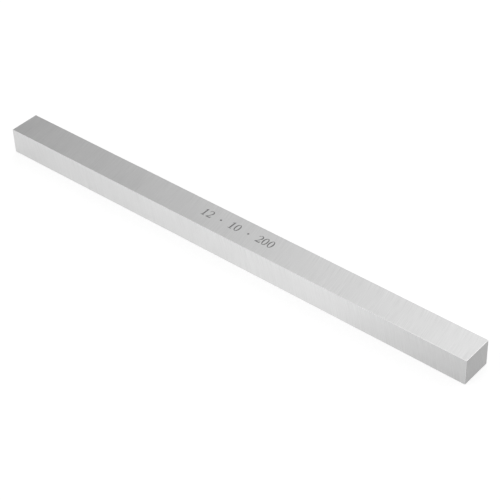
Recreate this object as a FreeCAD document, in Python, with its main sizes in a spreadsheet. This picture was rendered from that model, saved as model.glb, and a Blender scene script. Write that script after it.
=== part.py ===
# Ground tool bit of high-speed steel: a solid rectangular bar, as supplied, with no cutting edge on it yet.
# The bar lies on its wider face. X runs along its length, Y across its width and Z up, in millimetres.
# The origin is the middle of the face that it lies on.

import FreeCAD, Part
import Sketcher
import os

# Each driving size: its name, its value and what it is on the real bar.
SIZES = (
    ("bar_length", 200.0, "overall length, from end face to end face"),
    ("bar_width", 12.0, "width of the section, across the face that the bar lies on"),
    ("bar_height", 10.0, "height of the section, from the seat to the top face"),
    ("long_edge_break", 0.15, "leg of the 45 degree break along each of the long edges"),
    ("end_edge_break", 0.1, "leg of the 45 degree break round each end face"),
)
SHEET_NAME = "Sizes"
PARTS_FOLDER = "parts"


def add_sheet(doc):
    """Puts the driving sizes in a spreadsheet, one to a row: name, value and meaning."""
    sheet = doc.addObject("Spreadsheet::Sheet", SHEET_NAME)
    for row, (name, value, meaning) in enumerate(SIZES, start=1):
        sheet.set(f"A{row}", name)
        sheet.set(f"B{row}", str(value))
        sheet.set(f"C{row}", meaning)
        sheet.setAlias(f"B{row}", name)
    doc.recompute()
    return sheet


def origin_plane(body, role):
    """Gives one of the body's own origin planes, found by its role."""
    return next(item for item in body.Origin.OriginFeatures if item.Role == role)


def add_section(body, sheet):
    """Draws the bar's section: a rectangle that stands on the Y axis, centred across it."""
    sketch = body.newObject("Sketcher::SketchObject", "section")
    sketch.AttachmentSupport = [(origin_plane(body, "YZ_Plane"), "")]
    sketch.MapMode = "FlatFace"

    half_width = sheet.bar_width / 2
    corners = [
        FreeCAD.Vector(-half_width, 0, 0),
        FreeCAD.Vector(half_width, 0, 0),
        FreeCAD.Vector(half_width, sheet.bar_height, 0),
        FreeCAD.Vector(-half_width, sheet.bar_height, 0),
    ]
    for start, end in zip(corners, corners[1:] + corners[:1]):
        sketch.addGeometry(Part.LineSegment(start, end), False)
    seat, right, top, left = range(len(corners))

    for line, following in ((seat, right), (right, top), (top, left), (left, seat)):
        sketch.addConstraint(Sketcher.Constraint("Coincident", line, 2, following, 1))
    for line in (right, left):
        sketch.addConstraint(Sketcher.Constraint("Vertical", line))
    sketch.addConstraint(Sketcher.Constraint("Horizontal", top))
    # The seat's two ends are mirror images in the sketch's origin, which the seat runs through.
    sketch.addConstraint(Sketcher.Constraint("Horizontal", seat))
    sketch.addConstraint(Sketcher.Constraint("Symmetric", seat, 1, seat, 2, -1, 1))

    width = sketch.addConstraint(Sketcher.Constraint("DistanceX", seat, 1, seat, 2, sheet.bar_width))
    height = sketch.addConstraint(Sketcher.Constraint("DistanceY", right, 1, right, 2, sheet.bar_height))
    sketch.renameConstraint(width, "width")
    sketch.renameConstraint(height, "height")
    sketch.setExpression("Constraints.width", f"{SHEET_NAME}.bar_width")
    sketch.setExpression("Constraints.height", f"{SHEET_NAME}.bar_height")
    return sketch


def add_bar(body, section):
    """Runs the section along X, half of the bar's length to each side of the origin."""
    bar = body.newObject("PartDesign::Pad", "bar")
    bar.Profile = section
    bar.Midplane = True
    bar.setExpression("Length", f"{SHEET_NAME}.bar_length")
    return bar


def points_along_bar(direction):
    """Tells whether a direction points along the bar rather than across it."""
    return abs(direction.x) > abs(direction.y) + abs(direction.z)


def long_edges(shape):
    """Names the shape's edges that run along the bar."""
    return [
        f"Edge{number}"
        for number, edge in enumerate(shape.Edges, start=1)
        if points_along_bar(edge.tangentAt(edge.FirstParameter))
    ]


def end_rims(shape):
    """Names the shape's edges that go round its two end faces."""
    ends = [face for face in shape.Faces if points_along_bar(face.normalAt(0, 0))]
    return [
        f"Edge{number}"
        for number, edge in enumerate(shape.Edges, start=1)
        if any(edge.isSame(rim) for end in ends for rim in end.Edges)
    ]


def add_edge_break(body, name, base, edge_names, size_name):
    """Takes the sharpness off some edges of the base feature with a 45 degree chamfer."""
    edge_break = body.newObject("PartDesign::Chamfer", name)
    edge_break.Base = (base, edge_names)
    edge_break.setExpression("Size", f"{SHEET_NAME}.{size_name}")
    return edge_break


def build_tool_bit(doc, sheet):
    """Makes the bar: its section, its length, then the breaks on its long edges and round its ends."""
    body = doc.addObject("PartDesign::Body", "tool_bit")
    body.Label = "tool_bit"
    bar = add_bar(body, add_section(body, sheet))
    doc.recompute()
    eased = add_edge_break(body, "long_edge_breaks", bar, long_edges(bar.Shape), "long_edge_break")
    doc.recompute()
    add_edge_break(body, "end_edge_breaks", eased, end_rims(eased.Shape), "end_edge_break")
    doc.recompute()
    return body


def check(doc, bodies):
    """Stops the build if an object failed, or if a sub-part isn't one valid solid."""
    for item in doc.Objects:
        if "Invalid" in item.State or "Error" in item.State:
            raise RuntimeError(f"{item.Name} failed: {item.State}")
    for body in bodies:
        shape = body.Shape
        if shape.isNull() or not shape.isValid() or len(shape.Solids) != 1:
            raise RuntimeError(f"{body.Label} isn't one valid solid")


def export(bodies):
    """Writes each sub-part to a file named after its label, and prints what it measures."""
    os.makedirs(PARTS_FOLDER, exist_ok=True)
    for body in bodies:
        shape = body.Shape
        shape.exportStep(f"{PARTS_FOLDER}/{body.Label}.step")
        box = shape.BoundBox
        print(f"{body.Label}: {box.XLength:.3f} x {box.YLength:.3f} x {box.ZLength:.3f} mm")
        print(f"{body.Label}: volume {shape.Volume:.2f} mm3")


def main():
    """Builds the document, checks it and writes its parts."""
    doc = FreeCAD.newDocument("lathe_tool_bit")
    sheet = add_sheet(doc)
    bodies = [build_tool_bit(doc, sheet)]
    check(doc, bodies)
    export(bodies)


main()
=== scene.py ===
# The looks of a ground tool bit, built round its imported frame.
# The tool bit is one bar of high-speed steel. Its four long faces are ground, its two ends are cut square,
# its edges are broken and a size mark is etched into its top face. The bar lies in a plain white studio.

import logging
import math
from dataclasses import dataclass, field
from enum import Enum, IntEnum
from itertools import product

import bmesh
import bpy
from mathutils import Matrix, Vector, noise
from mathutils.geometry import delaunay_2d_cdt


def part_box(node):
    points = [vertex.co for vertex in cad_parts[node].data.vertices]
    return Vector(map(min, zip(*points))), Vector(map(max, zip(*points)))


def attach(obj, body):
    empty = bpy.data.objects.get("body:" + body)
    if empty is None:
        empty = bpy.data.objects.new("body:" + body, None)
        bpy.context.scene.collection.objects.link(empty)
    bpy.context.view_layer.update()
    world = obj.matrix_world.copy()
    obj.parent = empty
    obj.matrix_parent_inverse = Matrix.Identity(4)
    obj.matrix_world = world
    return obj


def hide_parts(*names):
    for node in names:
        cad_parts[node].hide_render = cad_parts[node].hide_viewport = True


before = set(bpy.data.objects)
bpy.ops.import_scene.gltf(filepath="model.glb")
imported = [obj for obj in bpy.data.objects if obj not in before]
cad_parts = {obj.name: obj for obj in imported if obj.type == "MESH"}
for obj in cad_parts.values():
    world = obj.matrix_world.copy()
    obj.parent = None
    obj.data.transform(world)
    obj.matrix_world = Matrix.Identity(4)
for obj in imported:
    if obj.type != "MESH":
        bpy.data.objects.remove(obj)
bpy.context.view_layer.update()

LOG = logging.getLogger("tool_bit")
MM = 0.001
NODE = "tool_bit"
BODY = "root"
PIECE = "ground_bar"
# The map that gives each place on a face its millimetres along and across the face.
LAY_MAP = "lay"
# The map that the finish can be baked on.
BAKE_MAP = "OFBake"

Point = tuple[float, float]
Feed = bpy.types.NodeSocket | float | tuple[float, ...]


class Axis(IntEnum):
    """The bar's axes: X runs along it, Y across it and Z up."""

    X = 0
    Y = 1
    Z = 2


# The axes along and across each side of the bar, by the axis that the side faces.
DIRECTIONS = {
    Axis.X: (Axis.Y, Axis.Z),
    Axis.Y: (Axis.X, Axis.Z),
    Axis.Z: (Axis.X, Axis.Y),
}


class Surface(IntEnum):
    """How each surface of the bar was made. The number is its place in the piece's list of materials."""

    GROUND = 0
    CUT = 1
    BROKEN = 2
    ETCHED = 3


class Sign(Enum):
    """The signs that the size mark is made of."""

    ZERO = "0"
    ONE = "1"
    TWO = "2"
    DOT = "."
    SPACE = " "


@dataclass
class NodeBench:
    """Places shader nodes in one node tree and links them.

    Attributes:
        tree: the node tree of a material or of the world.
    """

    tree: bpy.types.NodeTree

    def node(self, kind: str, **options: object) -> bpy.types.Node:
        """Adds a node.

        Args:
            kind: Blender's name for the kind of node.
            options: the node's own settings, by name.

        Returns:
            The new node.
        """
        made = self.tree.nodes.new(kind)
        for name, value in options.items():
            setattr(made, name, value)
        return made

    def feed(self, socket: bpy.types.NodeSocket, value: Feed) -> None:
        """Gives an input its value.

        Args:
            socket: the input.
            value: an output to link to it, or a plain value to set on it.
        """
        if isinstance(value, bpy.types.NodeSocket):
            self.tree.links.new(value, socket)
        else:
            socket.default_value = value

    def maths(self, operation: str, *values: Feed) -> bpy.types.NodeSocket:
        """Works out one number.

        Args:
            operation: what the Math node does.
            values: its inputs, in order.

        Returns:
            The output that holds the result.
        """
        made = self.node("ShaderNodeMath", operation=operation)
        for socket, value in zip(made.inputs, values):
            self.feed(socket, value)
        return made.outputs[0]

    def join(self, x: Feed, y: Feed, z: Feed) -> bpy.types.NodeSocket:
        """Makes a vector.

        Args:
            x: its first part.
            y: its second part.
            z: its third part.

        Returns:
            The output that holds the vector.
        """
        made = self.node("ShaderNodeCombineXYZ")
        for socket, value in zip(made.inputs, (x, y, z)):
            self.feed(socket, value)
        return made.outputs[0]

    def shift(self, value: Feed, marks: Feed, reach: float, neutral: float) -> Feed:
        """Moves a value by some marks.

        Args:
            value: the value without them.
            marks: the marks, from 0 to 1.
            reach: how far the value moves when the marks go from 0 to 1.
            neutral: the strength of mark that leaves the value as it is.

        Returns:
            The value with them.
        """
        if not reach:
            return value
        return self.maths("ADD", value, self.maths("MULTIPLY_ADD", marks, reach, -neutral * reach))

    def ramp(self, value: Feed, start: float, end: float, low: float, high: float) -> bpy.types.NodeSocket:
        """Eases smoothly from one value to another.

        Args:
            value: what decides.
            start: where the change starts.
            end: where the change ends.
            low: the result up to the start.
            high: the result past the end.

        Returns:
            The output that holds the result.
        """
        made = self.node("ShaderNodeMapRange", interpolation_type="SMOOTHSTEP")
        for socket, given in zip(made.inputs, (value, start, end, low, high)):
            self.feed(socket, given)
        return made.outputs[0]

    def profile(self, value: Feed, stops: tuple[Point, ...]) -> bpy.types.NodeSocket:
        """Follows a smooth curve through a few stops.

        Args:
            value: what decides.
            stops: pairs of a value and its result, in order.

        Returns:
            The output that holds the result.
        """
        first, last = stops[0][0], stops[-1][0]
        share = self.maths("DIVIDE", self.maths("SUBTRACT", value, first), last - first)
        made = self.node("ShaderNodeValToRGB")
        made.color_ramp.interpolation = "CARDINAL"
        marks = made.color_ramp.elements
        for number, (at, level) in enumerate(stops):
            place = (at - first) / (last - first)
            mark = marks[number] if number < len(marks) else marks.new(place)
            mark.position = place
            mark.color = (level, level, level, 1.0)
        self.feed(made.inputs[0], share)
        return made.outputs[0]

    def place(self) -> tuple[bpy.types.NodeSocket, bpy.types.NodeSocket]:
        """Reads the place on a face.

        Returns:
            The distances along and across the face, in millimetres.
        """
        split = self.node("ShaderNodeSeparateXYZ")
        self.feed(split.inputs[0], self.node("ShaderNodeUVMap", uv_map=LAY_MAP).outputs[0])
        return split.outputs[0], split.outputs[1]


@dataclass(frozen=True)
class Grain:
    """Random marks of one size on a surface.

    Attributes:
        name: what the marks are.
        per_mm: how many go into a millimetre.
        grey: how far they move the steel's grey.
        blur: how far they move its roughness.
        height: their share of its relief.
        detail: how many finer octaves they have.
        layer: where in the noise they are read, so that no two grains of a finish are alike.
        drawn: whether the tool has drawn them out along its course.
        peaks: where in the noise a mark starts and where it is full, if only the peaks leave marks.
    """

    name: str
    per_mm: float
    grey: float = 0.0
    blur: float = 0.0
    height: float = 0.0
    detail: float = 2.0
    layer: float = 0.0
    drawn: bool = True
    peaks: Point | None = None

    @property
    def neutral(self) -> float:
        """The mark that changes nothing: an average one, or none at all where only the peaks count."""
        return 0.0 if self.peaks else 0.5

    def lay(self, bench: NodeBench, x: Feed, y: Feed) -> bpy.types.NodeSocket:
        """Lays the marks on a surface.

        Args:
            bench: where the nodes go.
            x: the place on the surface in one direction, in millimetres.
            y: the place in the other direction.

        Returns:
            The output that holds the marks, from 0 to 1.
        """
        made = bench.node("ShaderNodeTexNoise", label=self.name)
        bench.feed(made.inputs["Vector"], bench.join(x, y, self.layer))
        bench.feed(made.inputs["Scale"], self.per_mm)
        bench.feed(made.inputs["Detail"], self.detail)
        if not self.peaks:
            return made.outputs[0]
        return bench.ramp(made.outputs[0], *self.peaks, 0.0, 1.0)


@dataclass(frozen=True)
class SteelFinish:
    """A finish of bare steel.

    Attributes:
        name: the material's name.
        grey: how much light the steel sends back, from 0 to 1.
        roughness: how much it blurs what it mirrors.
        streaking: how much more it blurs across its tool marks than along them.
        turned: whether the tool marks run along the face's first direction, and not across it.
        metallic: 1 for clean metal, less under a film.
        relief: the full height of its marks, in metres.
        grains: the marks that cover it.
    """

    # A quarter of a turn, as the shader counts turns.
    QUARTER = 0.25

    name: str
    grey: float
    roughness: float
    streaking: float = 0.0
    turned: bool = False
    metallic: float = 1.0
    relief: float = 0.0
    grains: tuple[Grain, ...] = ()

    def make(self) -> bpy.types.Material:
        """Makes the material.

        Returns:
            The material, with its grain, shine and relief.
        """
        material = bpy.data.materials.new(self.name)
        material.use_nodes = True
        material.diffuse_color = (self.grey, self.grey, self.grey, 1.0)
        bench = NodeBench(material.node_tree)
        steel = material.node_tree.nodes["Principled BSDF"]
        steel.inputs["Metallic"].default_value = self.metallic
        steel.inputs["Anisotropic"].default_value = self.streaking
        steel.inputs["Anisotropic Rotation"].default_value = self.QUARTER if self.turned else 0.0
        tangent = bench.node("ShaderNodeTangent", direction_type="UV_MAP", uv_map=LAY_MAP)
        bench.feed(steel.inputs["Tangent"], tangent.outputs[0])

        grey, roughness, height = self.cover(bench)
        bench.feed(steel.inputs["Base Color"], bench.join(grey, grey, grey))
        bench.feed(steel.inputs["Roughness"], roughness)
        bump = bench.node("ShaderNodeBump")
        bump.inputs["Distance"].default_value = self.relief
        bench.feed(bump.inputs["Height"], height)
        bench.feed(steel.inputs["Normal"], bump.outputs[0])
        return material

    def cover(self, bench: NodeBench) -> tuple[Feed, Feed, Feed]:
        """Covers the steel with its grains.

        Args:
            bench: where the nodes go.

        Returns:
            The grey, the roughness and the height as they vary over the surface.
        """
        place = bench.place()
        course = self.course(bench, *place)
        grey, roughness, height = self.grey, self.roughness, 0.0
        for grain in self.grains:
            marks = grain.lay(bench, *(course if grain.drawn else place))
            grey = bench.shift(grey, marks, grain.grey, grain.neutral)
            roughness = bench.shift(roughness, marks, grain.blur, grain.neutral)
            height = bench.shift(height, marks, grain.height, 0.0)
        return grey, roughness, height

    def course(self, bench: NodeBench, along: Feed, across: Feed) -> tuple[Feed, Feed]:
        """Follows the course of the tool that made the surface.

        Args:
            bench: where the nodes go.
            along: the place along the face, in millimetres.
            across: the place across it.

        Returns:
            The place on the surface, shrunk along the tool's course so that the marks are drawn out.
        """
        raise NotImplementedError


@dataclass(frozen=True)
class CupGround(SteelFinish):
    """The long faces: satin, with fine shallow arcs across the width where the rim of a cup wheel passed.

    Attributes:
        wheel_radius: the cup wheel's radius, in millimetres.
        slant: how far the arcs lean along the bar for each millimetre across it.
        stretch: how much longer than wide the marks are.
        relief: the full height of the marks, in metres.
        grains: the wheel's fine and coarse lines, and the few deep scratches among them, whose grooves are
            painted darker as painted shade.
    """

    wheel_radius: float = 75.0
    slant: float = 0.22
    stretch: float = 80.0
    relief: float = 0.012 * MM
    grains: tuple[Grain, ...] = (
        Grain("fine lines", 9.0, grey=0.2, height=0.4),
        Grain("lines", 2.2, grey=0.08, blur=0.12, height=0.6),
        Grain("bands", 0.45, grey=0.05, layer=4.0),
        Grain("unevenness", 0.045, grey=0.05, blur=0.08, layer=7.0, drawn=False),
        # The scratches' relief is real, and their darker grey is painted shade in the grooves.
        Grain("scratches", 11.0, grey=-0.05, height=-0.35, detail=0.0, layer=9.0, peaks=(0.66, 0.85)),
    )

    def course(self, bench: NodeBench, along: Feed, across: Feed) -> tuple[Feed, Feed]:
        """Follows the wheel's rim, which crosses the face in leaning arcs.

        Args:
            bench: where the nodes go.
            along: the place along the face, in millimetres.
            across: the place across it.

        Returns:
            The place along the bar where the arc starts, and the shrunk place along the arc.
        """
        bow = bench.maths("DIVIDE", bench.maths("MULTIPLY", across, across), 2 * self.wheel_radius)
        start = bench.maths("ADD", along, bench.maths("MULTIPLY_ADD", across, self.slant, bow))
        return start, bench.maths("DIVIDE", across, self.stretch)


@dataclass(frozen=True)
class DiscCut(SteelFinish):
    """The ends: duller and coarser, with the sweep of an abrasive cutting disc.

    Attributes:
        disc_radius: the cutting disc's radius, in millimetres.
        stretch: how much longer than wide the marks are.
        relief: the full height of the marks, in metres.
        grains: the disc's lines and bands, and dull specks.
    """

    disc_radius: float = 90.0
    stretch: float = 30.0
    relief: float = 0.03 * MM
    grains: tuple[Grain, ...] = (
        Grain("fine lines", 6.0, grey=0.18, blur=0.18, height=0.6, detail=3.0, layer=3.0),
        Grain("bands", 1.1, grey=0.1, height=0.4, layer=3.0),
        Grain("specks", 9.0, grey=0.08, layer=6.0, drawn=False),
    )

    def course(self, bench: NodeBench, along: Feed, across: Feed) -> tuple[Feed, Feed]:
        """Follows the disc's edge, which crosses the end from side to side in arcs.

        Args:
            bench: where the nodes go.
            along: the place along the face, in millimetres.
            across: the place across it.

        Returns:
            The shrunk place along the arc, and the height on the end where the arc starts.
        """
        bow = bench.maths("DIVIDE", bench.maths("MULTIPLY", along, along), 2 * self.disc_radius)
        return bench.maths("DIVIDE", along, self.stretch), bench.maths("ADD", across, bow)


@dataclass(frozen=True)
class Stoned(SteelFinish):
    """The broken edges: brighter, rubbed lengthwise with a fine stone.

    Attributes:
        stretch: how much longer than wide the marks are.
        relief: the full height of the marks, in metres.
        grains: the stone's lines, over brighter and duller patches.
    """

    stretch: float = 50.0
    relief: float = 0.001 * MM
    grains: tuple[Grain, ...] = (
        Grain("patches", 0.4, grey=0.1, layer=2.0, drawn=False),
        Grain("lines", 25.0, grey=0.2, blur=0.15, height=1.0, layer=11.0),
    )

    def course(self, bench: NodeBench, along: Feed, across: Feed) -> tuple[Feed, Feed]:
        """Follows the stone along the edge.

        Args:
            bench: where the nodes go.
            along: the place along the face, in millimetres.
            across: the place across it.

        Returns:
            The shrunk place along the edge, and the place across it.
        """
        return bench.maths("DIVIDE", along, self.stretch), across


@dataclass(frozen=True)
class Etched(SteelFinish):
    """The floor of the size mark: eaten into the steel by acid, dark and matt.

    Attributes:
        relief: the full depth of the pits, in metres.
        grains: fine pits, over darker and paler clouds.
    """

    relief: float = 0.02 * MM
    grains: tuple[Grain, ...] = (
        Grain("clouds", 1.1, grey=0.12, layer=5.0),
        Grain("pits", 12.0, grey=0.16, blur=0.2, height=1.0, detail=3.0, layer=5.0),
    )

    def course(self, bench: NodeBench, along: Feed, across: Feed) -> tuple[Feed, Feed]:
        """Follows nothing, because acid leaves marks that are as long as wide.

        Args:
            bench: where the nodes go.
            along: the place along the face, in millimetres.
            across: the place across it.

        Returns:
            The same place.
        """
        return along, across


def arc(centre: Point, radii: Point, start: float, end: float, steps: int = 14) -> list[Point]:
    """Lays points along a stretch of an ellipse.

    Args:
        centre: the ellipse's centre.
        radii: its half width and half height.
        start: the angle of the first point in degrees, counter-clockwise from the right.
        end: the angle of the last point.
        steps: how many chords the stretch has.

    Returns:
        The points, in order.
    """
    angles = [math.radians(start + (end - start) * step / steps) for step in range(steps + 1)]
    return [(centre[0] + radii[0] * math.cos(a), centre[1] + radii[1] * math.sin(a)) for a in angles]


def ring(centre: Point, radii: Point, corners: int) -> list[Point]:
    """Lays points all round an ellipse.

    Args:
        centre: the ellipse's centre.
        radii: its half width and half height.
        corners: how many points there are.

    Returns:
        The points, in order.
    """
    return arc(centre, radii, 0, 360, corners)[:-1]


def is_inside(point: Vector, loop: list[Vector]) -> bool:
    """Tells whether a point is inside a closed outline.

    Args:
        point: the point.
        loop: the outline's corners, in order.

    Returns:
        True if it is inside.
    """
    inside = False
    for a, b in zip(loop, loop[1:] + loop[:1]):
        if (a.y > point.y) != (b.y > point.y):
            if point.x < a.x + (b.x - a.x) * (point.y - a.y) / (b.y - a.y):
                inside = not inside
    return inside


@dataclass
class SizeMark:
    """The plain size mark on the top face: width, height and length in millimetres, with dots between.

    Attributes:
        start: where the first sign starts along the bar.
        baseline: where the signs stand across the bar. Their heads point to +Y.
        height: the height of a figure.
        pitch: the distance from one sign to the next.
        depth: how deep the mark is etched.
        text: the signs, in order.
    """

    # Keeps only the triangles inside the outlines, when a face is cut into triangles.
    INSIDE_ONLY = 1
    # How near two points are taken as one then, in millimetres.
    NEARNESS = 1e-6

    start: float = -12.3 * MM
    baseline: float = -1.1 * MM
    height: float = 3.6 * MM
    pitch: float = 2.42 * MM
    depth: float = 0.05 * MM
    text: str = "12 . 10 . 200"

    @property
    def length(self) -> float:
        """The whole mark's length along the bar."""
        return self.pitch * len(self.text)

    @staticmethod
    def zero() -> list[list[Point]]:
        """Draws the figure 0, with thick sides and a thin head and foot, for a height of 1."""
        return [ring((0.32, 0.5), (0.29, 0.5), 30), ring((0.32, 0.5), (0.155, 0.44), 24)]

    @staticmethod
    def one() -> list[list[Point]]:
        """Draws the figure 1, with a flag and a foot.

        Returns:
            Its outline, for a height of 1.
        """
        foot = [(0.27, 0.075), (0.14, 0.05), (0.14, 0.0), (0.54, 0.0), (0.54, 0.05), (0.415, 0.075)]
        head = [(0.415, 1.0), (0.37, 1.0), (0.26, 0.925), (0.14, 0.865), (0.14, 0.82), (0.27, 0.845)]
        return [foot + head]

    @staticmethod
    def two() -> list[list[Point]]:
        """Draws the figure 2, with a round head, a swept neck and a raised toe.

        Returns:
            Its outline, for a height of 1.
        """
        outer = arc((0.32, 0.71), (0.27, 0.29), 172, -38)
        sole = [(0.39, 0.33), (0.215, 0.125), (0.48, 0.125)]
        toe = [(0.545, 0.155), (0.58, 0.25), (0.62, 0.25), (0.585, 0.0)]
        heel = [(0.06, 0.0), (0.06, 0.045), (0.27, 0.29), (0.375, 0.45)]
        inner = arc((0.285, 0.70), (0.165, 0.235), -38, 165)
        return [outer + sole + toe + heel + inner]

    @staticmethod
    def dot() -> list[list[Point]]:
        """Draws the raised dot between the numbers, for a height of 1."""
        return [ring((0.33, 0.42), (0.11, 0.11), 18)]

    def outlines(self) -> list[list[Vector]]:
        """Sets the signs in a row.

        Returns:
            The closed outlines of all the signs, in the bar's own X and Y.
        """
        shapes = {
            Sign.ZERO: self.zero(),
            Sign.ONE: self.one(),
            Sign.TWO: self.two(),
            Sign.DOT: self.dot(),
            Sign.SPACE: [],
        }
        placed = []
        for place, letter in enumerate(self.text):
            corner = Vector((self.start + place * self.pitch, self.baseline))
            for loop in shapes[Sign(letter)]:
                placed.append([corner + self.height * Vector(point) for point in loop])
        return placed

    def etch(self, mesh: bmesh.types.BMesh, rim: list[bmesh.types.BMVert]) -> int:
        """Fills a stretch of the top face, with the mark sunk into it.

        Args:
            mesh: the bar's mesh.
            rim: the corners of the stretch, in order round it.

        Returns:
            How many outlines were etched.
        """
        loops = self.outlines()
        top = rim[0].co.z
        upper = list(rim)
        rings = [range(len(rim))]
        for loop in loops:
            rings.append(range(len(upper), len(upper) + len(loop)))
            upper += [mesh.verts.new((point.x, point.y, top)) for point in loop]
        sides = [(around[place - 1], around[place]) for around in rings for place in range(len(around))]
        lower = {
            place: mesh.verts.new((upper[place].co.x, upper[place].co.y, top - self.depth))
            for around in rings[1:]
            for place in around
        }

        flat = [vert.co.xy / MM for vert in upper]
        cut = delaunay_2d_cdt(flat, sides, [], self.INSIDE_ONLY, self.NEARNESS)
        corners, _, triangles, sources, _, _ = cut
        for triangle in triangles:
            middle = sum((corners[corner] for corner in triangle), Vector((0.0, 0.0))) * MM / len(triangle)
            places = [sources[corner][0] for corner in triangle]
            if sum(is_inside(middle, loop) for loop in loops) % 2:
                made = mesh.faces.new([lower[place] for place in places])
                made.material_index = Surface.ETCHED
            else:
                mesh.faces.new([upper[place] for place in places])
        for a, b in sides[len(rim):]:
            wall = mesh.faces.new((upper[a], upper[b], lower[b], lower[a]))
            wall.material_index = Surface.ETCHED
        return len(loops)


def side_of(face: bmesh.types.BMFace) -> tuple[Axis, bool]:
    """Tells which side of the bar a face belongs to.

    Args:
        face: the face.

    Returns:
        The axis that it faces most, and whether it faces the axis's high end.
    """
    # Rounded, so that all the faces at 45 degrees go to the same side.
    sizes = [round(abs(part), 2) for part in face.normal]
    facing = Axis(sizes.index(max(sizes)))
    return facing, face.normal[facing] > 0


@dataclass
class BakeMap:
    """A square map that the bar's finish can be baked on, where each face has a place of its own.

    Each long side is cut into a few lengths, which lie in rows above each other. The two ends share
    the next row, and the walls of the size mark lie end to end in the last ones.

    Attributes:
        low: the lowest corner of the bar's box.
        high: the highest corner of the bar's box.
        overhang: how far a face may reach past the length that it belongs to.
        wall_depth: how deep the walls of the size mark are.
        lengths: how many lengths each long side is cut into.
        gap: the gap between two rows.
        wall_height: the height on the map of a row of walls.
    """

    low: Vector
    high: Vector
    overhang: float
    wall_depth: float
    lengths: int = 3
    gap: float = 0.6 * MM
    wall_height: float = 0.5 * MM

    @property
    def size(self) -> Vector:
        """The size of the bar's box."""
        return self.high - self.low

    @property
    def length(self) -> float:
        """The length that the sides are cut into."""
        return self.size.x / self.lengths

    @property
    def row_length(self) -> float:
        """The length of a row, with room at both ends for a face that lies across a cut."""
        return self.length + 2 * self.overhang

    def stack_rows(self) -> tuple[dict[tuple[Axis, int], float], float]:
        """Stacks the rows of the long sides.

        Returns:
            Each row's height, by the axis that its side faces and its number, and the next free height.
        """
        rows = {}
        height = self.gap
        for facing, number in product((Axis.Y, Axis.Z), range(2 * self.lengths)):
            rows[facing, number] = height
            height += self.size[DIRECTIONS[facing][1]] + self.gap
        return rows, height

    def corner(
        self, face: bmesh.types.BMFace, rows: dict[tuple[Axis, int], float], end_row: float
    ) -> Vector:
        """Finds where the low corner of the bar's box lies on the map, for one face.

        Args:
            face: the face.
            rows: the heights of the long sides' rows.
            end_row: the height of the ends' row.

        Returns:
            The corner's place on the map.
        """
        facing, is_high = side_of(face)
        if facing == Axis.X:
            return Vector((self.gap + is_high * (self.size.y + self.gap), end_row))
        number = int((face.calc_center_median().x - self.low.x) / self.length)
        row = number + is_high * self.lengths
        return Vector((self.overhang - number * self.length, rows[facing, row]))

    def lay_walls(
        self, layer: bmesh.types.BMLayerItem, walls: list[bmesh.types.BMFace], height: float
    ) -> float:
        """Lays the walls of the size mark end to end, in as many rows as they need.

        Args:
            layer: the map's layer in the mesh.
            walls: the walls.
            height: the height of the first row.

        Returns:
            The next free height.
        """
        start = 0.0
        for wall in walls:
            wall_length = max(edge.calc_length() for edge in wall.edges)
            if start + wall_length > self.row_length:
                start = 0.0
                height += self.wall_height + self.gap
            for loop in wall.loops:
                depth = (self.high.z - loop.vert.co.z) / self.wall_depth
                run = (loop.vert.co - wall.loops[0].vert.co).xy.length
                loop[layer].uv = (start + run, height + depth * self.wall_height)
            start += wall_length
        return height + self.wall_height + self.gap

    def lay(self, mesh: bmesh.types.BMesh) -> None:
        """Lays the map on the bar.

        Args:
            mesh: the bar's mesh.
        """
        layer = mesh.loops.layers.uv.new(BAKE_MAP)
        rows, end_row = self.stack_rows()
        walls = []
        for face in mesh.faces:
            facing, _ = side_of(face)
            if face.material_index == Surface.ETCHED and facing != Axis.Z:
                walls.append(face)
                continue
            along, across = DIRECTIONS[facing]
            corner = self.corner(face, rows, end_row)
            for loop in face.loops:
                place = loop.vert.co - self.low
                loop[layer].uv = corner + Vector((place[along], place[across]))

        height = self.lay_walls(layer, walls, end_row + self.size.z + self.gap)
        for face in mesh.faces:
            for loop in face.loops:
                loop[layer].uv = (loop[layer].uv.x / self.row_length, loop[layer].uv.y / height)


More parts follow.
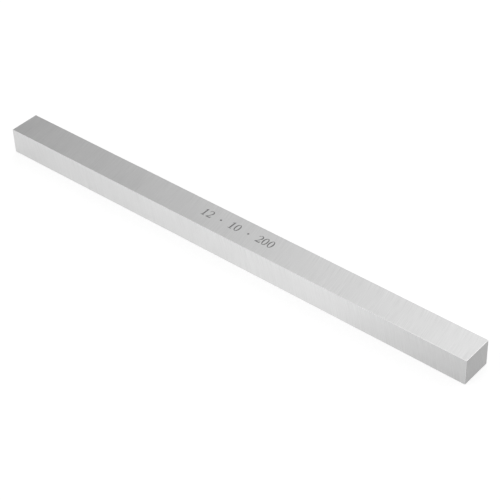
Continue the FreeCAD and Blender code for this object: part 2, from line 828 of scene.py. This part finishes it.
@dataclass
class ToolBit:
    """The whole bar: ground faces, cut ends, broken edges and the size mark.

    Attributes:
        low: the lowest corner of the bar's box.
        high: the highest corner of the bar's box.
        long_break: the leg of the break along each long edge.
        end_break: the leg of the break round each end.
        wander: the share by which the long breaks' legs vary along the bar, being broken by hand.
        wander_length: the distance along the bar in which a leg varies.
        station_pitch: the distance between the sections that the mesh is made of.
        side_shift: how far apart the sides' stretches of their finish lie, in millimetres.
        mark: the size mark.
        finishes: the finish of each kind of surface.
    """

    # A break's outline: what is left of the face before the corner, and what is gone of the face after it,
    # as shares of the leg. The middle facet is the 45 degree break, and the short ones ease its shoulders.
    BREAK_OUTLINE = ((1.0, 0.0), (0.72, 0.14), (0.14, 0.72), (0.0, 1.0))
    # The way round the section as seen from +X: down the front, along the seat, up the rear, over the top.
    WAY_ROUND = (Vector((0, 0, -1)), Vector((0, 1, 0)), Vector((0, 0, 1)), Vector((0, -1, 0)))
    # The corner where each way ends: its side in Y and in Z.
    CORNERS = ((-1, -1), (1, -1), (1, 1), (-1, 1))
    # Where in the noise the legs' drift is read: this far apart for the four edges, and off the noise's own
    # grid, on which it is always nought.
    EDGE_SPACING = 10.0
    OFF_GRID = 0.5

    low: Vector
    high: Vector
    long_break: float = 0.15 * MM
    end_break: float = 0.1 * MM
    wander: float = 0.3
    wander_length: float = 14 * MM
    station_pitch: float = 2 * MM
    side_shift: float = 300.0
    mark: SizeMark = field(default_factory=SizeMark)
    finishes: dict[Surface, SteelFinish] = field(
        default_factory=lambda: {
            Surface.GROUND: CupGround("ground_face", grey=0.73, roughness=0.32, streaking=0.5),
            Surface.CUT: DiscCut("cut_end", grey=0.59, roughness=0.42, streaking=0.4, turned=True),
            Surface.BROKEN: Stoned("stoned_edge", grey=0.85, roughness=0.2, streaking=0.4, turned=True),
            Surface.ETCHED: Etched("etched_mark", grey=0.23, roughness=0.6, metallic=0.6),
        }
    )

    def section(self, x: float, inset: float) -> list[Vector]:
        """Lays out the bar's section at one place along it.

        Args:
            x: the place along the bar.
            inset: how far in the faces are there, as they are in the breaks round the ends.

        Returns:
            The section's points, counter-clockwise as seen from +X.
        """
        middle = (self.low + self.high) / 2
        half = (self.high - self.low) / 2
        points = []
        for number, (side_y, side_z) in enumerate(self.CORNERS):
            spot = Vector((x / self.wander_length, self.EDGE_SPACING * number, self.OFF_GRID))
            # A break of even width round the end takes this much off the corner's leg too.
            leg = self.long_break * (1 + self.wander * noise.noise(spot)) - (2 - math.sqrt(2)) * inset
            corner = Vector((x, middle.y + side_y * (half.y - inset), middle.z + side_z * (half.z - inset)))
            arriving = self.WAY_ROUND[number]
            leaving = self.WAY_ROUND[(number + 1) % len(self.WAY_ROUND)]
            for before, after in self.BREAK_OUTLINE:
                points.append(corner + leg * (after * leaving - before * arriving))
        return points

    def stations(self) -> list[Point]:
        """Lists where the sections stand.

        Returns:
            Each section's place along the bar and its inset, from the far end to the near end.
        """
        end_break = [(gone * self.end_break, left * self.end_break) for left, gone in self.BREAK_OUTLINE]
        far = [(self.low.x + run, inset) for run, inset in end_break]
        near = [(self.high.x - run, inset) for run, inset in reversed(end_break)]
        start, end = far[-1][0], near[0][0]
        steps = round((end - start) / self.station_pitch)
        between = [(start + (end - start) * step / steps, 0.0) for step in range(1, steps)]
        return far + between + near

    def build_mesh(self) -> bmesh.types.BMesh:
        """Makes the bar's closed mesh, with each face's kind of surface.

        Returns:
            The mesh.
        """
        mesh = bmesh.new()
        stations = self.stations()
        rings = [[mesh.verts.new(point) for point in self.section(*station)] for station in stations]
        around, facets = len(rings[0]), len(self.BREAK_OUTLINE)
        # The top face starts at the last point of the rear top corner, which is the third.
        top = 3 * facets - 1
        mark_end = self.mark.start + self.mark.length
        first = max(number for number, (x, _) in enumerate(stations) if x < self.mark.start)
        last = min(number for number, (x, _) in enumerate(stations) if x > mark_end)

        for number, (here, there) in enumerate(zip(rings, rings[1:])):
            is_end_break = stations[number][1] != stations[number + 1][1]
            for place in range(around):
                if place == top and first <= number < last:
                    continue
                following = (place + 1) % around
                face = mesh.faces.new((here[place], here[following], there[following], there[place]))
                is_flat = place % facets == facets - 1 and not is_end_break
                face.material_index = Surface.GROUND if is_flat else Surface.BROKEN
        for end in (rings[0], rings[-1]):
            mesh.faces.new(end).material_index = Surface.CUT

        marked = rings[first : last + 1]
        rim = [section[top] for section in marked] + [section[top + 1] for section in reversed(marked)]
        etched = self.mark.etch(mesh, rim)
        LOG.info("size mark: %d outlines etched %.2f mm deep", etched, self.mark.depth / MM)
        bmesh.ops.recalc_face_normals(mesh, faces=mesh.faces)
        return mesh

    def lay_grain(self, mesh: bmesh.types.BMesh) -> None:
        """Gives each face its millimetres along and across, with the bar's length as the first direction.

        Args:
            mesh: the bar's mesh.
        """
        layer = mesh.loops.layers.uv.new(LAY_MAP)
        middle = (self.low + self.high) / 2
        for face in mesh.faces:
            facing, is_high = side_of(face)
            along, across = DIRECTIONS[facing]
            # Each side of the bar gets a stretch of the pattern of its own.
            shift = self.side_shift * (facing + 1) * (1 if is_high else -1)
            for loop in face.loops:
                place = (loop.vert.co - middle) / MM
                loop[layer].uv = (place[along] + shift, place[across])

    def build(self) -> bpy.types.Object:
        """Builds and dresses the bar, and lets it stand for its solid.

        Returns:
            The finished piece.
        """
        mesh = self.build_mesh()
        self.lay_grain(mesh)
        BakeMap(self.low, self.high, self.station_pitch, self.mark.depth).lay(mesh)
        data = bpy.data.meshes.new(PIECE)
        mesh.to_mesh(data)
        mesh.free()
        for surface in Surface:
            data.materials.append(self.finishes[surface].make())
        piece = bpy.data.objects.new(PIECE, data)
        bpy.context.scene.collection.objects.link(piece)
        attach(piece, BODY)
        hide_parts(NODE)
        return piece


def direction(azimuth: float, elevation: float) -> Vector:
    """Turns two angles into a direction away from the bar.

    Args:
        azimuth: degrees from the bar's front side, -Y, towards its near end, +X.
        elevation: degrees above the floor.

    Returns:
        The unit vector.
    """
    a, e = math.radians(azimuth), math.radians(elevation)
    return Vector((math.sin(a) * math.cos(e), -math.cos(a) * math.cos(e), math.sin(e)))


@dataclass(frozen=True)
class Softbox:
    """A soft lamp.

    Attributes:
        name: the lamp's name.
        azimuth: where it stands, in degrees from the bar's front side towards its near end.
        elevation: how high it stands, in degrees above the floor.
        distance: how far it stands from the bar.
        side: the length of its square face.
        power: its power in watts.
    """

    name: str
    azimuth: float
    elevation: float
    distance: float
    side: float
    power: float

    def build(self) -> bpy.types.Object:
        """Makes the lamp, turned to the bar.

        Returns:
            The lamp.
        """
        light = bpy.data.lights.new(self.name, "AREA")
        light.shape = "SQUARE"
        light.size = self.side
        light.energy = self.power
        lamp = bpy.data.objects.new(self.name, light)
        away = direction(self.azimuth, self.elevation)
        lamp.location = away * self.distance
        lamp.rotation_euler = away.to_track_quat("Z", "Y").to_euler()
        bpy.context.scene.collection.objects.link(lamp)
        return lamp


@dataclass(frozen=True)
class SkyPatch:
    """A part of the sky that is dimmer or brighter than the rest.

    Attributes:
        azimuth: where its middle is, in degrees from the bar's front side towards its near end.
        elevation: how high its middle is, in degrees above the floor.
        share: how strong its middle is, as a share of the plain sky.
        inner: the angle from its middle up to which it is as strong as that.
        outer: the angle from its middle where it ends.
    """

    azimuth: float
    elevation: float
    share: float
    inner: float
    outer: float

    def share_towards(self, bench: NodeBench, looking: Feed) -> bpy.types.NodeSocket:
        """Works out the patch's share of the sky's strength in a direction.

        Args:
            bench: where the nodes go.
            looking: the direction.

        Returns:
            The output that holds the share.
        """
        nearness = bench.node("ShaderNodeVectorMath", operation="DOT_PRODUCT")
        bench.feed(nearness.inputs[0], looking)
        bench.feed(nearness.inputs[1], tuple(direction(self.azimuth, self.elevation)))
        outer, inner = math.cos(math.radians(self.outer)), math.cos(math.radians(self.inner))
        return bench.ramp(nearness.outputs["Value"], outer, inner, 1.0, self.share)


@dataclass
class Studio:
    """The plain white studio: a pale floor, a white sky with a few soft patches, and soft lamps.

    Attributes:
        floor_radius: how far the floor reaches.
        floor_sides: how many sides its round edge has.
        floor_white: how much light the floor sends back.
        floor_lift: how much whiter the floor looks where it is seen.
        floor_painted_reflection: a painted reflection, how much whiter the floor glows where the steel
            mirrors it, at some places along X.
        sky: the sky's strength.
        patches: the sky's soft patches, which give the steel's faces their tones.
        lamps: the soft lamps.
    """

    floor_radius: float = 20.0
    floor_sides: int = 64
    floor_white: float = 0.5
    floor_lift: float = 0.63
    # Painted reflection: the floor glows in the steel's reflections only, less towards the near end, which
    # paints the steel's front and near end darker there.
    floor_painted_reflection: tuple[Point, ...] = (
        (-150 * MM, 0.47),
        (20 * MM, 0.63),
        (60 * MM, 0.55),
        (140 * MM, 0.17),
    )
    sky: float = 1.0
    patches: tuple[SkyPatch, ...] = (
        SkyPatch(250.0, 24.0, 0.24, 10.0, 40.0),
        SkyPatch(196.0, 46.0, 1.25, 5.0, 28.0),
        SkyPatch(120.0, 38.0, 0.76, 5.0, 40.0),
        SkyPatch(42.0, 35.0, 0.6, 8.0, 45.0),
        SkyPatch(320.0, 35.0, 0.75, 5.0, 40.0),
        SkyPatch(0.0, 90.0, 0.85, 5.0, 30.0),
    )
    lamps: tuple[Softbox, ...] = (
        Softbox("high_softbox", 0.0, 65.0, 1.3, 1.0, 1.0),
        Softbox("edge_softbox", 133.0, 22.0, 1.0, 0.25, 0.2),
    )

    def make_floor_material(self) -> bpy.types.Material:
        """Makes the floor's white, which keeps shadows, looks whiter where it is seen, and glows as a
        painted reflection in the steel.

        Returns:
            The material.
        """
        material = bpy.data.materials.new("white_floor")
        material.use_nodes = True
        material.node_tree.nodes.clear()
        bench = NodeBench(material.node_tree)
        matt = bench.node("ShaderNodeBsdfDiffuse")
        matt.inputs["Color"].default_value = (self.floor_white, self.floor_white, self.floor_white, 1.0)
        path = bench.node("ShaderNodeLightPath")
        seen = bench.maths("MAXIMUM", path.outputs["Is Camera Ray"], path.outputs["Is Transmission Ray"])
        split = bench.node("ShaderNodeSeparateXYZ")
        bench.feed(split.inputs[0], bench.node("ShaderNodeNewGeometry").outputs["Position"])
        # Painted reflection: a glow seen only in the steel's reflections, dimmer towards the near end.
        painted_reflection = bench.profile(split.outputs[0], self.floor_painted_reflection)
        painted_reflection = bench.maths("MULTIPLY", path.outputs["Is Glossy Ray"], painted_reflection)
        glow = bench.node("ShaderNodeEmission")
        bench.feed(glow.inputs["Strength"], bench.maths("MULTIPLY_ADD", seen, self.floor_lift, painted_reflection))
        both = bench.node("ShaderNodeAddShader")
        bench.feed(both.inputs[0], matt.outputs[0])
        bench.feed(both.inputs[1], glow.outputs[0])
        bench.feed(bench.node("ShaderNodeOutputMaterial").inputs["Surface"], both.outputs[0])
        return material

    def build_floor(self) -> bpy.types.Object:
        """Lays the floor under the bar.

        Returns:
            The floor.
        """
        mesh = bmesh.new()
        bmesh.ops.create_circle(mesh, cap_ends=True, radius=self.floor_radius, segments=self.floor_sides)
        data = bpy.data.meshes.new("floor")
        mesh.to_mesh(data)
        mesh.free()
        data.materials.append(self.make_floor_material())
        floor = bpy.data.objects.new("floor", data)
        bpy.context.scene.collection.objects.link(floor)
        return floor

    def build_sky(self) -> bpy.types.World:
        """Makes the sky and its soft patches.

        Returns:
            The sky.
        """
        world = bpy.data.worlds.new("studio_sky")
        bpy.context.scene.world = world
        world.use_nodes = True
        bench = NodeBench(world.node_tree)
        looking = bench.node("ShaderNodeTexCoord").outputs["Generated"]
        strength = self.sky
        for patch in self.patches:
            strength = bench.maths("MULTIPLY", patch.share_towards(bench, looking), strength)
        background = world.node_tree.nodes["Background"]
        bench.feed(background.inputs["Color"], (1.0, 1.0, 1.0, 1.0))
        bench.feed(background.inputs["Strength"], strength)
        return world

    def build(self) -> None:
        """Builds the floor, the sky and the lamps, and reports each."""
        floor = self.build_floor()
        LOG.info("%s: reaches %.0f m", floor.name, self.floor_radius)
        sky = self.build_sky()
        LOG.info("%s: %d soft patches", sky.name, len(self.patches))
        for softbox in self.lamps:
            lamp = softbox.build()
            LOG.info("%s: %.1f W", lamp.name, lamp.data.energy)


@dataclass(frozen=True)
class PhotoCamera:
    """The camera, as the photograph was taken.

    Attributes:
        azimuth: where it stands, in degrees from the bar's front side towards its near end.
        elevation: how high it stands, in degrees above the floor.
        roll: how far it is turned about its own line of sight, in degrees, clockwise as it looks.
        aim: the point that it looks at.
        distance: how far it stands from that point.
        lens: the focal length in millimetres.
        film: the width of the film in millimetres.
        nearest: the distance from which it sees.
        furthest: the distance up to which it sees.
    """

    azimuth: float = 41.56
    elevation: float = 39.45
    roll: float = -2.39
    aim: Vector = field(default_factory=lambda: Vector((7.15, 2.2, 1.3)) * MM)
    distance: float = 525.7 * MM
    lens: float = 111.45
    film: float = 36.0
    nearest: float = 0.01
    furthest: float = 100.0

    def build(self) -> bpy.types.Object:
        """Makes the camera and lets the scene use it.

        Returns:
            The camera.
        """
        data = bpy.data.cameras.new("photo_camera")
        data.lens = self.lens
        data.sensor_width = self.film
        data.clip_start = self.nearest
        data.clip_end = self.furthest
        camera = bpy.data.objects.new("photo_camera", data)
        away = direction(self.azimuth, self.elevation)
        turned = away.to_track_quat("Z", "Y").to_matrix() @ Matrix.Rotation(math.radians(self.roll), 3, "Z")
        camera.rotation_euler = turned.to_euler()
        camera.location = self.aim + away * self.distance
        bpy.context.scene.collection.objects.link(camera)
        bpy.context.scene.camera = camera
        return camera


def main() -> None:
    """Builds the tool bit, its studio and its camera, and reports each piece."""
    logging.basicConfig(level=logging.INFO, format="%(name)s: %(message)s")
    LOG.info("frame: nodes %s", sorted(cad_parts))
    piece = ToolBit(*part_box(NODE)).build()
    LOG.info("%s: %d faces in %d finishes", piece.name, len(piece.data.polygons), len(piece.data.materials))
    Studio().build()
    camera = PhotoCamera().build()
    LOG.info("%s: %.0f mm lens", camera.name, camera.data.lens)
    bpy.context.scene.view_settings.view_transform = "Standard"


if __name__ == "__main__":
    main()
